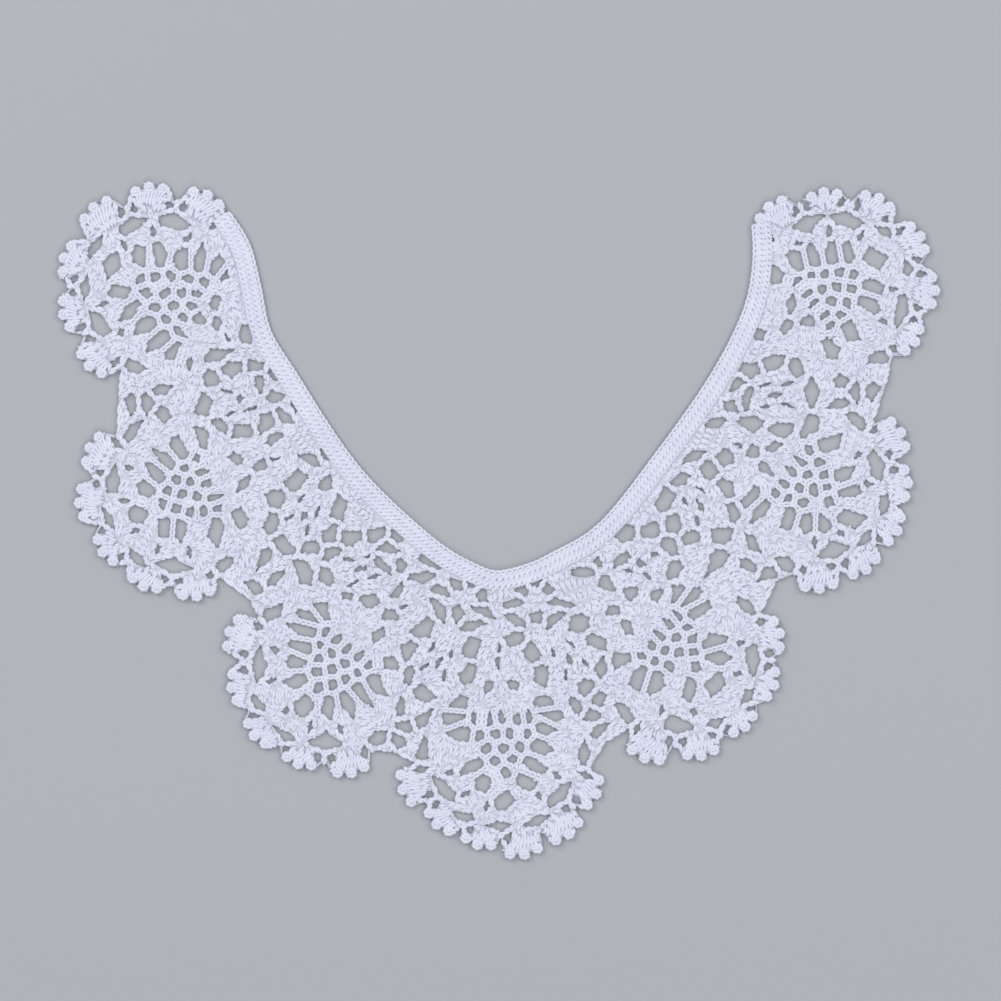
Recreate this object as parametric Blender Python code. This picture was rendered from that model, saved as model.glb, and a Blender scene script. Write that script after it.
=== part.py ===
"""A hand-crocheted cotton neck applique: a pineapple-lace collar lying flat.

The collar is worked outwards from a solid neckband. A yoke of solid triangles, V joints and leaves
carries seven pineapple medallions, and each medallion ends in an edging of picot fans.
Lengths are in millimetres until a piece is made, x runs to the right and y towards the neck opening's top.
"""
import math

import bpy

MM = 0.001

# Driving sizes
SEAM = 0.3                # open width between two pieces
BAND_DEPTH = 6.6          # neckband, from its inner edge to the first lace row
NECK_STEP = 5.0           # distance between two points along the neckband
NET_RADIUS = 28.0         # medallion's side towards the yoke
SHELL_RADIUS = 33.0       # medallion's side towards the picot fans
PICOT_RADIUS = 37.9       # where the round picots are centred
PICOT_SIZE = 2.5          # radius of one picot
PICOT_SPREAD = 7.8        # degrees between the three picots of a fan
MIDDLE_PICOT_RISE = 0.9   # the middle picot of a fan stands further out
VALLEY_RADIUS = 38.9      # edge between two picots
DIP_RADIUS = 34.6         # edge between two fans
ARC_STEP = 9.0            # degrees between two points on a medallion's edge
THREAD = 1.8              # least width of thread left between two gaps
RIM = 1.0                 # least width of thread left along a seam
HAND = 0.12               # how much the gaps differ in size, as handwork does
HAND_SHIFT = 0.45         # and in place
CORNER = 0.3              # and how much the corners of one gap differ
HALF_LENGTH = 0.70        # a gap's half length before it is trimmed, as a share of the charted length
HALF_WIDTH = 0.58         # and its half width, as a share of the charted width
POINT = 0.8               # how pointed its ends are, where 0 is a plain oval
LEAST_GAP = 7.0           # square millimetres; a smaller gap stays closed in the solids
MOST_GAPS = 300

THICKNESS = {"neckband": 2.2, "yoke": 1.8, "pineapple": 1.6, "edging": 2.4}
SHADE = {"neckband": 0.80, "yoke": 0.76, "pineapple": 0.76, "edging": 0.78}

# Inner edge of the neckband, from the left end round to the right end: x, y
NECKLINE = (
    (-103.5, 119.0), (-96.0, 107.0), (-91.5, 89.5), (-88.0, 73.5), (-78.5, 58.0), (-60.5, 30.0),
    (-45.5, 12.0), (-22.5, -8.5), (-7.5, -17.0), (0.0, -19.0), (11.5, -16.0), (20.0, -12.0),
    (38.5, -0.5), (60.5, 27.0), (81.5, 57.0), (94.0, 82.0), (97.5, 101.0), (97.0, 113.5),
)

# Medallions, left to right: x and y of the base fan, x and y of the middle, distance from the base fan to
# the gap at the tip, direction in degrees of the first and the last picot fan, number of picot fans
MEDALLIONS = (
    (-110.5, 78.5, -130.5, 89.0, 43.5, 63.4, 226.9, 6),
    (-105.5, 17.5, -122.0, 10.0, 36.6, 152.7, 278.2, 5),
    (-54.0, -43.0, -65.5, -58.0, 35.8, 157.8, 282.5, 5),
    (1.0, -67.5, 1.5, -88.0, 40.4, 201.3, 334.9, 6),
    (56.5, -39.0, 70.5, -51.5, 35.8, 249.6, 372.8, 5),
    (107.0, 23.5, 119.0, 14.0, 35.8, 275.8, 389.7, 5),
    (115.5, 79.5, 129.0, 89.5, 36.2, 326.6, 488.9, 6),
)

# How much further out than the rest each picot fan stands, a row for each medallion, first fan to last
FAN_RISES = (
    (2.0, 1.1, 2.0, 0.2, -0.4, 1.1), (1.2, 0.9, -1.3, -0.9, 0.3), (2.5, -0.8, -1.1, -1.6, 0.8),
    (2.7, -0.5, -1.2, 2.0, 2.1, 0.6), (3.3, 0.4, -2.4, -1.9, -0.6), (1.2, 0.4, -0.5, -0.7, 2.0),
    (-1.9, -0.3, -0.2, 0.0, -1.5, 1.6),
)

# Apex of the solid triangle above each medallion, left to right: x, y
TRIANGLES = (
    (-100.5, 65.5), (-80.5, 26.0), (-31.0, -30.0), (0.0, -42.5), (32.5, -30.0), (85.5, 31.5), (102.0, 65.5),
)

# Apex of the two triangles that have no medallion, and the notch each one points at: x, y, x, y
FREE_TRIANGLES = ((-57.0, 1.0, -96.5, -30.0), (63.5, 3.0, 106.5, -23.5))

# V joint between two triangles and the leaf that grows from it: x, y of the joint, x, y of the leaf's middle
LEAVES = (
    (-83.5, 50.0, -100.0, 47.0), (-65.0, 18.0, -75.0, 2.5), (-36.0, -13.5, -53.0, -18.0),
    (-14.5, -32.0, -23.5, -53.5), (14.0, -32.5, 26.5, -52.5), (38.0, -12.0, 54.0, -16.0),
    (67.5, 20.0, 77.0, 6.5), (86.5, 47.0, 106.0, 48.5),
)

# Innermost point of the outline between two medallions, left to right: x, y
NOTCHES = ((-147.0, 45.0), (-96.5, -30.0), (-41.5, -89.0), (40.5, -85.5), (106.5, -23.5), (148.5, 50.5))

# Net in a medallion, a row of equal gaps each: distance out, pitch, gaps, gap's length, gap's width
NET_ROWS = (
    (14.2, 6.2, 4, 3.6, 3.6), (19.6, 6.9, 3, 3.6, 3.7), (24.4, 7.5, 2, 3.6, 3.7), (28.9, 7.7, 1, 3.4, 3.6),
)

# One gap and its mirror image each: distance out, distance across, length, width, lean in degrees
SIDE_GAPS = (
    (1.5, 18.1, 10.0, 4.6, -12), (7.3, 18.9, 8.5, 4.4, 2), (13.1, 16.9, 9.2, 5.4, 12),
    (19.6, 14.2, 8.9, 5.4, 20), (26.6, 11.9, 8.5, 5.0, 28), (33.1, 8.1, 7.7, 5.0, 45),
)
JOINT_GAPS = (
    (-9.6, 0.0, 5.8, 3.6, 0), (-6.2, 5.4, 6.2, 4.0, 25), (-1.2, 8.5, 9.2, 3.4, 12),
    (3.9, 0.0, 5.0, 5.0, 0), (5.4, 7.7, 10.0, 3.2, -32),
)
LEAF_GAPS = (
    (-9.2, 10.4, 8.5, 6.2, 60), (0.8, 12.7, 8.5, 5.8, 80), (9.2, 9.6, 7.0, 5.4, -50), (13.9, 0.0, 7.7, 5.8, 0),
)
APEX_GAPS = ((3.5, 6.5, 7.3, 5.8, 20), (12.3, 0.0, 5.8, 4.2, 90), (20.0, 4.6, 5.4, 3.8, 60))
FREE_APEX_GAPS = (
    (8.9, 0.0, 9.2, 5.8, 0), (18.5, 0.0, 10.0, 6.2, 90), (27.0, -4.4, 8.5, 6.2, 10),
    (27.8, 5.6, 6.6, 6.2, 70), (37.4, 0.0, 7.7, 3.4, 90),
)
NOTCH_GAPS = ((5.2, 0.0, 7.0, 4.2, 0), (11.4, 0.0, 6.6, 5.0, 0), (17.0, 4.4, 6.6, 4.2, 80))
TIP_GAP = (7.2, 7.6)             # length, width
RIM_GAP = (27.2, 10.4, 5.4)      # between two fans: distance from the middle, length, width
TIP_RIM_GAP = (29.6, 7.4, 3.6)   # the same beside the tip of the net
TIP_TURN = 31.0                  # degrees from the net's middle line that count as beside its tip
RIM_END_GAP = (31.0, 8.0, 4.8)   # past the last fan: the same three
RIM_END_TURN = 8.5               # degrees from the end of the edging to that gap


def angle_of(x, y):
    return math.degrees(math.atan2(y, x))


def polar(middle, radius, degrees):
    turn = math.radians(degrees)
    return middle[0] + radius * math.cos(turn), middle[1] + radius * math.sin(turn)


def distance(a, b):
    return math.hypot(a[0] - b[0], a[1] - b[1])


class Chart:
    """A motif's own axes: out along its middle line, and across it."""

    def __init__(self, origin, aim, stretch=1.0):
        length = distance(origin, aim)
        self.origin = origin
        self.out = ((aim[0] - origin[0]) / length, (aim[1] - origin[1]) / length)
        self.across = (-self.out[1], self.out[0])
        self.stretch = stretch

    def place(self, out, across):
        out *= self.stretch
        return tuple(self.origin[i] + self.out[i] * out + self.across[i] * across for i in (0, 1))

    def lean(self, degrees):
        return angle_of(*self.across) - degrees


def uneven(place, which):
    """A number from -1 to 1 that is always the same for a place, so that no two gaps are quite alike."""
    return math.sin(place[0] * 12.9 + place[1] * 78.2 + which * 2.4)


def gap(place, length, width, degrees):
    return {
        "place": (place[0] + HAND_SHIFT * uneven(place, 1), place[1] + HAND_SHIFT * uneven(place, 2)),
        "length": length * (1 + HAND * uneven(place, 3)),
        "width": width * (1 + HAND * uneven(place, 4)),
        "degrees": degrees + 60 * HAND * uneven(place, 5),
    }


def charted(chart, rows):
    """The gaps of a chart, each row with its mirror image unless it lies on the middle line."""
    made = []
    for out, across, length, width, lean in rows:
        for side in ((1, -1) if across else (1,)):
            made.append(gap(chart.place(out, side * across), length, width, chart.lean(side * lean)))
    return made


def smooth_line(points, step):
    """A smooth curve through the points, with a point about every step."""
    line = []
    for i in range(len(points) - 1):
        before, start, end, after = (
            points[max(i - 1, 0)], points[i], points[i + 1], points[min(i + 2, len(points) - 1)])
        count = max(1, round(distance(start, end) / step))
        for k in range(count):
            t = k / count
            line.append(tuple(
                0.5 * (2 * start[a] + (end[a] - before[a]) * t
                       + (2 * before[a] - 5 * start[a] + 4 * end[a] - after[a]) * t * t
                       + (3 * start[a] - before[a] - 3 * end[a] + after[a]) * t ** 3)
                for a in (0, 1)))
    line.append(points[-1])
    return line


def pushed_out(line, depth):
    """The line moved away from the neck opening, which lies on its left."""
    moved = []
    for i, point in enumerate(line):
        before, after = line[max(i - 1, 0)], line[min(i + 1, len(line) - 1)]
        length = distance(before, after)
        moved.append((
            point[0] + (after[1] - before[1]) / length * depth,
            point[1] - (after[0] - before[0]) / length * depth))
    return moved


def nearest(line, point):
    return min(range(len(line)), key=lambda i: distance(line[i], point))


def arc(middle, radius, first, last):
    """Points on a circle from first to last degrees, on whole steps so that neighbours share them."""
    low, high = min(first, last), max(first, last)
    steps = range(math.ceil(low / ARC_STEP + 0.3), math.floor(high / ARC_STEP - 0.3) + 1)
    turns = [low] + [s * ARC_STEP for s in steps] + [high]
    if last < first:
        turns.reverse()
    return [polar(middle, radius, turn) for turn in turns]


class Medallion:
    """One pineapple: its base fan, middle, tip and picot fans."""

    def __init__(self, base_x, base_y, mid_x, mid_y, reach, first_fan, last_fan, fans, rises):
        self.base = (base_x, base_y)
        self.middle = (mid_x, mid_y)
        self.reach = reach
        self.fans = fans
        self.rises = rises
        self.pitch = (last_fan - first_fan) / (fans - 1)
        self.first_fan = first_fan
        self.start = first_fan - self.pitch / 2
        self.end = last_fan + self.pitch / 2
        turn = angle_of(base_x - mid_x, base_y - mid_y)
        while turn < self.end:
            turn += 360
        self.top = turn

    def chart(self):
        return Chart(self.base, self.middle, self.reach / 40.4)

    def body(self):
        """Outline of the net and its shells."""
        shells = arc(self.middle, SHELL_RADIUS, self.start, self.end)
        return shells + arc(self.middle, NET_RADIUS, self.end, self.start + 360)

    def edging(self):
        """Outline of the picot fans."""
        line = arc(self.middle, SHELL_RADIUS, self.end, self.start)
        line.append(polar(self.middle, DIP_RADIUS, self.start))
        for fan, rise in enumerate(self.rises):
            turn = self.first_fan + fan * self.pitch
            for picot in (-1, 0, 1):
                radius = PICOT_RADIUS + rise + (0 if picot else MIDDLE_PICOT_RISE)
                line += self.picot(turn + picot * PICOT_SPREAD, radius)
                if picot < 1:
                    valley = turn + (picot + 0.5) * PICOT_SPREAD
                    line.append(polar(self.middle, VALLEY_RADIUS + rise, valley))
            line.append(polar(self.middle, DIP_RADIUS, turn + self.pitch / 2))
        return line

    def picot(self, turn, radius):
        centre = polar(self.middle, radius, turn)
        return [polar(centre, PICOT_SIZE, turn + bend) for bend in (-62, -21, 21, 62)]

    def gaps(self):
        chart = self.chart()
        made = charted(chart, SIDE_GAPS)
        made.append(gap(polar(self.base, self.reach, self.top + 180), *TIP_GAP, 0))
        turns = []
        for fan in range(1, self.fans):
            turn = self.start + fan * self.pitch
            beside_tip = abs((turn - self.top) % 360 - 180) < TIP_TURN
            turns.append((turn, TIP_RIM_GAP if beside_tip else RIM_GAP))
        turns += [(self.start - RIM_END_TURN, RIM_END_GAP), (self.end + RIM_END_TURN, RIM_END_GAP)]
        for turn, (out, length, width) in turns:
            made.append(gap(polar(self.middle, out, turn), length, width, turn + 90))
        for out, pitch, count, length, width in NET_ROWS:
            for i in range(count):
                across = (i - (count - 1) / 2) * pitch
                made.append(gap(chart.place(out, across), length, width, chart.lean(90)))
        return made


def all_gaps(medallions, seam_line):
    """Every gap of the lace, the largest of each repeat first."""
    made = []
    for medallion in medallions:
        made += medallion.gaps()
    for x, y, leaf_x, leaf_y in LEAVES:
        made += charted(Chart((leaf_x, leaf_y), (2 * leaf_x - x, 2 * leaf_y - y)), LEAF_GAPS)
    for x, y, notch_x, notch_y in FREE_TRIANGLES:
        made += charted(Chart((x, y), (notch_x, notch_y)), FREE_APEX_GAPS)
    for apex, medallion in zip(TRIANGLES, medallions):
        made += charted(Chart(apex, medallion.base), APEX_GAPS)
    leaf_middles = [(leaf_x, leaf_y) for _, _, leaf_x, leaf_y in LEAVES]
    for notch in NOTCHES:
        aim = leaf_middles[nearest(leaf_middles, notch)]
        made += charted(Chart(notch, aim), NOTCH_GAPS)
    for x, y, _, _ in LEAVES:
        foot = seam_line[nearest(seam_line, (x, y))]
        aim = (2 * x - foot[0], 2 * y - foot[1])
        made += charted(Chart((x, y), aim), JOINT_GAPS)
    return made


def reach_towards(hole, direction):
    """How far an oval gap reaches from its middle in a direction."""
    turn = math.radians(hole["degrees"])
    along = direction[0] * math.cos(turn) + direction[1] * math.sin(turn)
    beside = direction[1] * math.cos(turn) - direction[0] * math.sin(turn)
    return math.hypot(hole["length"] / 2 * along, hole["width"] / 2 * beside)


def spaced(gaps):
    """The gaps without those that would run into an earlier one."""
    kept = []
    for hole in gaps:
        room = all(
            distance(hole["place"], other["place"]) > 0.45 * (hole["width"] + other["width"]) + 1.2
            for other in kept)
        if room:
            kept.append(hole)
    return kept


def oval(hole):
    """A gap's outline, pointed at both ends, with uneven corners."""
    count = 8 if hole["length"] > 9.0 else 6
    turn = math.radians(hole["degrees"])
    points = []
    for i in range(count):
        a = 2 * math.pi * i / count
        reach = 1 + CORNER * uneven(hole["place"], i)
        x = hole["length"] * HALF_LENGTH * math.cos(a) * abs(math.cos(a)) ** POINT * reach
        y = hole["width"] * HALF_WIDTH * math.sin(a) * reach
        points.append((
            hole["place"][0] + x * math.cos(turn) - y * math.sin(turn),
            hole["place"][1] + x * math.sin(turn) + y * math.cos(turn)))
    return points


def trimmed(outline, point, direction):
    """The part of an outline that lies before the line through point across direction."""
    depth = [(p[0] - point[0]) * direction[0] + (p[1] - point[1]) * direction[1] for p in outline]
    kept = []
    for i, p in enumerate(outline):
        k = (i + 1) % len(outline)
        q = outline[k]
        if depth[i] <= 0:
            kept.append(p)
        if depth[i] * depth[k] < 0:
            share = depth[i] / (depth[i] - depth[k])
            kept.append((p[0] + (q[0] - p[0]) * share, p[1] + (q[1] - p[1]) * share))
    return kept


def area(outline):
    total = 0
    for i, p in enumerate(outline):
        q = outline[(i + 1) % len(outline)]
        total += p[0] * q[1] - p[1] * q[0]
    return total / 2


def inside(outline, point):
    hit = False
    for i, p in enumerate(outline):
        q = outline[(i + 1) % len(outline)]
        if (p[1] > point[1]) != (q[1] > point[1]):
            if point[0] < p[0] + (q[0] - p[0]) * (point[1] - p[1]) / (q[1] - p[1]):
                hit = not hit
    return hit


def on_segment(p, q, point):
    """The point of segment p q that is nearest to point."""
    length = distance(p, q) ** 2
    share = ((point[0] - p[0]) * (q[0] - p[0]) + (point[1] - p[1]) * (q[1] - p[1])) / max(length, 1e-9)
    share = min(max(share, 0), 1)
    return p[0] + (q[0] - p[0]) * share, p[1] + (q[1] - p[1]) * share


def cut_gap(hole, gaps, outline):
    """The gap's outline, with thread left between it and its neighbours and along the piece's edge."""
    shape = oval(hole)
    here = hole["place"]
    for other in gaps:
        apart = distance(here, other["place"])
        if other is hole or apart > 15:
            continue
        way = ((other["place"][0] - here[0]) / apart, (other["place"][1] - here[1]) / apart)
        mine, theirs = reach_towards(hole, way), reach_towards(other, way)
        edge = mine + (apart - mine - theirs) / 2 - THREAD / 2
        shape = trimmed(shape, (here[0] + way[0] * edge, here[1] + way[1] * edge), way)
    for i, p in enumerate(outline):
        close = on_segment(p, outline[(i + 1) % len(outline)], here)
        away = distance(here, close)
        if away < 8:
            way = ((close[0] - here[0]) / away, (close[1] - here[1]) / away)
            shape = trimmed(shape, (close[0] - way[0] * RIM, close[1] - way[1] * RIM), way)
    return [p for i, p in enumerate(shape) if distance(p, shape[i - 1]) > 0.25]


def drawn_in(outline, depth):
    """The outline moved in by depth, so that two pieces leave a seam between them."""
    if area(outline) < 0:
        outline = outline[::-1]
    made = []
    for i, p in enumerate(outline):
        before, after = outline[i - 1], outline[(i + 1) % len(outline)]
        a, b = distance(before, p), distance(p, after)
        first = (-(p[1] - before[1]) / a, (p[0] - before[0]) / a)
        second = (-(after[1] - p[1]) / b, (after[0] - p[0]) / b)
        sum_x, sum_y = first[0] + second[0], first[1] + second[1]
        scale = 2 * depth / max(sum_x ** 2 + sum_y ** 2, 0.6)
        made.append((p[0] + sum_x * scale, p[1] + sum_y * scale))
    return made


def neckband_outline(neck, seam_line, feet, medallions):
    first, last = medallions[0], medallions[-1]
    line = list(neck)
    line += [polar(last.middle, DIP_RADIUS, last.end)]
    line += [polar(last.middle, SHELL_RADIUS, last.end)]
    line += arc(last.middle, NET_RADIUS, last.end, last.top)
    line += seam_line[feet[0]:feet[-1] + 1][::-1]
    line += arc(first.middle, NET_RADIUS, first.top, first.start + 360)
    line += [polar(first.middle, SHELL_RADIUS, first.start)]
    line += [polar(first.middle, DIP_RADIUS, first.start)]
    return line


def yoke_outline(seam_line, foot, next_foot, medallion, neighbour, notch):
    line = seam_line[foot:next_foot + 1]
    line += arc(neighbour.middle, NET_RADIUS, neighbour.top, neighbour.start + 360)
    line += [polar(neighbour.middle, SHELL_RADIUS, neighbour.start)]
    line += [polar(neighbour.middle, DIP_RADIUS, neighbour.start), notch]
    line += [polar(medallion.middle, DIP_RADIUS, medallion.end)]
    line += [polar(medallion.middle, SHELL_RADIUS, medallion.end)]
    line += arc(medallion.middle, NET_RADIUS, medallion.end, medallion.top)
    return line


def cotton(name, shade):
    material = bpy.data.materials.new(name + "_cotton")
    material.use_nodes = True
    shader = material.node_tree.nodes["Principled BSDF"]
    shader.inputs["Base Color"].default_value = (shade * 0.97, shade * 0.98, shade, 1)
    shader.inputs["Roughness"].default_value = 0.85
    shader.inputs["Metallic"].default_value = 0.0
    return material


def middle_of(outlines):
    """The middle of the box round all the outlines."""
    xs, ys = zip(*(point for outline in outlines for point in outline))
    return (min(xs) + max(xs)) / 2, (min(ys) + max(ys)) / 2


def lace_piece(name, loops, thickness, shade, collection):
    """A flat plate of crochet on z = 0: its outline is the first loop, and the others are cut through."""
    curve = bpy.data.curves.new(name, "CURVE")
    curve.dimensions = "2D"
    curve.fill_mode = "BOTH"
    curve.extrude = thickness / 2 * MM
    curve.resolution_u = 1
    for loop in loops:
        spline = curve.splines.new("POLY")
        spline.points.add(len(loop) - 1)
        for point, (x, y) in zip(spline.points, loop):
            point.co = (x * MM, y * MM, 0, 1)
        spline.use_cyclic_u = True
    piece = bpy.data.objects.new(name, curve)
    piece.location.z = thickness / 2 * MM
    curve.materials.append(cotton(name, shade))
    collection.objects.link(piece)
    return piece


def main():
    for old in list(bpy.data.objects):
        bpy.data.objects.remove(old, do_unlink=True)
    collection = bpy.data.collections.new("crochet_neck_applique")
    bpy.context.scene.collection.children.link(collection)

    medallions = [Medallion(*row, rises) for row, rises in zip(MEDALLIONS, FAN_RISES)]
    neck = smooth_line(NECKLINE, NECK_STEP)
    seam_line = pushed_out(neck, BAND_DEPTH)
    tops = [polar(m.middle, NET_RADIUS, m.top) for m in medallions]
    feet = [nearest(seam_line, top) for top in tops]

    outlines = {"neckband": neckband_outline(neck, seam_line, feet, medallions)}
    for i, notch in enumerate(NOTCHES):
        outlines[f"yoke_{i + 1}"] = yoke_outline(
            seam_line, feet[i], feet[i + 1], medallions[i], medallions[i + 1], notch)
    for i, medallion in enumerate(medallions):
        outlines[f"pineapple_{i + 1}"] = medallion.body()
        outlines[f"edging_{i + 1}"] = medallion.edging()

    gaps = spaced(all_gaps(medallions, seam_line))
    homes = {name: [] for name in outlines}
    for hole in gaps:
        name = next((n for n, outline in outlines.items() if inside(outline, hole["place"])), "neckband")
        if name != "neckband":
            shape = cut_gap(hole, gaps, outlines[name])
            if len(shape) > 3 and abs(area(shape)) > LEAST_GAP:
                homes[name].append(shape)
    cut = sorted((abs(area(shape)) for shapes in homes.values() for shape in shapes), reverse=True)
    least = cut[min(MOST_GAPS, len(cut)) - 1]

    middle = middle_of(outlines.values())
    for name, outline in outlines.items():
        kind = name.split("_")[0]
        loops = [drawn_in(outline, SEAM / 2)]
        loops += [shape for shape in homes[name] if abs(area(shape)) >= least]
        loops = [[(x - middle[0], y - middle[1]) for x, y in loop] for loop in loops]
        lace_piece(name, loops, THICKNESS[kind], SHADE[kind], collection)


main()
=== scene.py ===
"""A hand-crocheted cotton neck applique, worked stitch by stitch and laid flat on a pale floor.

The charts that place the gaps of the lace are those of the part's own source. Chains and posts run between
the gaps, fans of posts fill the solid stretches, and picots close the edge.
Lengths are in millimetres until a piece is made, x runs to the right and y towards the neck opening's top.
"""
import math
from collections import deque

import bpy
import numpy as np
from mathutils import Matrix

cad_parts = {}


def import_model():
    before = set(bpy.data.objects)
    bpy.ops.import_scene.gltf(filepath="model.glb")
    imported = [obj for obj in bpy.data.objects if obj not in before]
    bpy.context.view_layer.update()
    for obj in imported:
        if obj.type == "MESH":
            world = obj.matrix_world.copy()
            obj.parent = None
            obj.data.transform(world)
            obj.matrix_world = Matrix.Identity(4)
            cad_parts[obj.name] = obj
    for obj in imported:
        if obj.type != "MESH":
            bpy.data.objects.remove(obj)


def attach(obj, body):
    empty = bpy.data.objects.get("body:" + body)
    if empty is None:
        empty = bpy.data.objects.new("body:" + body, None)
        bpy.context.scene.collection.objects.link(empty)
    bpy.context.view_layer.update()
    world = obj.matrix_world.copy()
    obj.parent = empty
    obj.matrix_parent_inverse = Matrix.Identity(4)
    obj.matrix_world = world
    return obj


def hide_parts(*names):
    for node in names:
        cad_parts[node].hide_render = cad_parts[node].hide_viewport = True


MM = 0.001
UP = np.array((0.0, 0.0, 1.0))

# Driving sizes of the lace, as in the part
BAND_DEPTH = 6.6
NECK_STEP = 5.0
NET_RADIUS = 28.0
SHELL_RADIUS = 33.0
PICOT_RADIUS = 37.9
PICOT_SIZE = 2.5
PICOT_SPREAD = 7.8
PICOT_BENDS = (-62, -21, 21, 62)     # degrees round a picot to the corners of its outline
MIDDLE_PICOT_RISE = 0.9
VALLEY_RADIUS = 38.9
DIP_RADIUS = 34.6
ARC_STEP = 9.0
THREAD = 1.8
RIM = 1.0
HAND = 0.12
HAND_SHIFT = 0.45
HAND_LEAN = 60 * HAND     # degrees
CORNER = 0.3
HALF_LENGTH = 0.70
HALF_WIDTH = 0.58
POINT = 0.8
UNEVEN = (12.9, 78.2, 2.4)     # radians of the unevenness's wave: a millimetre along x, one along y, each use
FULL_REACH = 40.4         # reach of the medallion that the charts were drawn for
REACH = 15.0              # gaps further apart than this have no thread in common
NEAR_EDGE = 8.0           # a gap nearer than this to its piece's edge is trimmed by it
LEAST_SIDE = 0.25         # shorter sides of a gap are left out
LONG_GAP = 9.0            # longer gaps have 8 corners before they are trimmed, others 6
APART_SHARE = 0.45        # two gaps are this share of their widths apart, middle to middle,
APART = 1.2               # and this much more
LEAST_GAP = 0.8           # square millimetres; smaller gaps are hidden by the stitches
LEAST_BREADTH = 0.5       # area by half the length round; thinner slivers are hidden as well

THICKNESS = {"neckband": 2.2, "yoke": 1.8, "pineapple": 1.6, "edging": 2.4}

# Inner edge of the neckband, from the left end round to the right end: x, y
NECKLINE = (
    (-103.5, 119.0), (-96.0, 107.0), (-91.5, 89.5), (-88.0, 73.5), (-78.5, 58.0), (-60.5, 30.0),
    (-45.5, 12.0), (-22.5, -8.5), (-7.5, -17.0), (0.0, -19.0), (11.5, -16.0), (20.0, -12.0),
    (38.5, -0.5), (60.5, 27.0), (81.5, 57.0), (94.0, 82.0), (97.5, 101.0), (97.0, 113.5),
)

# Medallions, left to right: x and y of the base fan, x and y of the middle, distance from the base fan to
# the gap at the tip, direction in degrees of the first and the last picot fan, number of picot fans
MEDALLIONS = (
    (-110.5, 78.5, -130.5, 89.0, 43.5, 63.4, 226.9, 6),
    (-105.5, 17.5, -122.0, 10.0, 36.6, 152.7, 278.2, 5),
    (-54.0, -43.0, -65.5, -58.0, 35.8, 157.8, 282.5, 5),
    (1.0, -67.5, 1.5, -88.0, 40.4, 201.3, 334.9, 6),
    (56.5, -39.0, 70.5, -51.5, 35.8, 249.6, 372.8, 5),
    (107.0, 23.5, 119.0, 14.0, 35.8, 275.8, 389.7, 5),
    (115.5, 79.5, 129.0, 89.5, 36.2, 326.6, 488.9, 6),
)

# How much further out than the rest each picot fan stands, a row for each medallion, first fan to last
FAN_RISES = (
    (2.0, 1.1, 2.0, 0.2, -0.4, 1.1), (1.2, 0.9, -1.3, -0.9, 0.3), (2.5, -0.8, -1.1, -1.6, 0.8),
    (2.7, -0.5, -1.2, 2.0, 2.1, 0.6), (3.3, 0.4, -2.4, -1.9, -0.6), (1.2, 0.4, -0.5, -0.7, 2.0),
    (-1.9, -0.3, -0.2, 0.0, -1.5, 1.6),
)

# Apex of the solid triangle above each medallion, left to right: x, y
TRIANGLES = (
    (-100.5, 65.5), (-80.5, 26.0), (-31.0, -30.0), (0.0, -42.5), (32.5, -30.0), (85.5, 31.5), (102.0, 65.5),
)

# Apex of the two triangles that have no medallion, and the notch each one points at: x, y, x, y
FREE_TRIANGLES = ((-57.0, 1.0, -96.5, -30.0), (63.5, 3.0, 106.5, -23.5))

# V joint between two triangles and the leaf that grows from it: x, y of the joint, x, y of the leaf's middle
LEAVES = (
    (-83.5, 50.0, -100.0, 47.0), (-65.0, 18.0, -75.0, 2.5), (-36.0, -13.5, -53.0, -18.0),
    (-14.5, -32.0, -23.5, -53.5), (14.0, -32.5, 26.5, -52.5), (38.0, -12.0, 54.0, -16.0),
    (67.5, 20.0, 77.0, 6.5), (86.5, 47.0, 106.0, 48.5),
)

# Innermost point of the outline between two medallions, left to right: x, y
NOTCHES = ((-147.0, 45.0), (-96.5, -30.0), (-41.5, -89.0), (40.5, -85.5), (106.5, -23.5), (148.5, 50.5))

# Net in a medallion, a row of equal gaps each: distance out, pitch, gaps, gap's length, gap's width
NET_ROWS = (
    (14.2, 6.2, 4, 3.6, 3.6), (19.6, 6.9, 3, 3.6, 3.7), (24.4, 7.5, 2, 3.6, 3.7), (28.9, 7.7, 1, 3.4, 3.6),
    (8.6, 5.3, 5, 4.2, 2.4),
)

# One gap and its mirror image each: distance out, distance across, length, width, lean in degrees
SIDE_GAPS = (
    (1.5, 18.1, 10.0, 4.6, -12), (7.3, 18.9, 8.5, 4.4, 2), (13.1, 16.9, 9.2, 5.4, 12),
    (19.6, 14.2, 8.9, 5.4, 20), (26.6, 11.9, 8.5, 5.0, 28), (33.1, 8.1, 7.7, 5.0, 45),
)
JOINT_GAPS = (
    (-9.6, 0.0, 5.8, 3.6, 0), (-6.2, 5.4, 6.2, 4.0, 25), (-1.2, 8.5, 9.2, 3.4, 12),
    (3.9, 0.0, 5.0, 5.0, 0), (5.4, 7.7, 10.0, 3.2, -32),
)
LEAF_GAPS = (
    (-9.2, 10.4, 8.5, 6.2, 60), (0.8, 12.7, 8.5, 5.8, 80), (9.2, 9.6, 7.0, 5.4, -50),
    (13.9, 0.0, 7.7, 5.8, 0),
)
APEX_GAPS = ((3.5, 6.5, 7.3, 5.8, 20), (12.3, 0.0, 5.8, 4.2, 90), (20.0, 4.6, 5.4, 3.8, 60))
FREE_APEX_GAPS = (
    (8.9, 0.0, 9.2, 5.8, 0), (18.5, 0.0, 10.0, 6.2, 90), (27.0, -4.4, 8.5, 6.2, 10),
    (27.8, 5.6, 6.6, 6.2, 70), (37.4, 0.0, 7.7, 3.4, 90),
)
NOTCH_GAPS = ((5.2, 0.0, 7.0, 4.2, 0), (11.4, 0.0, 6.6, 5.0, 0), (17.0, 4.4, 6.6, 4.2, 80))
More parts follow.
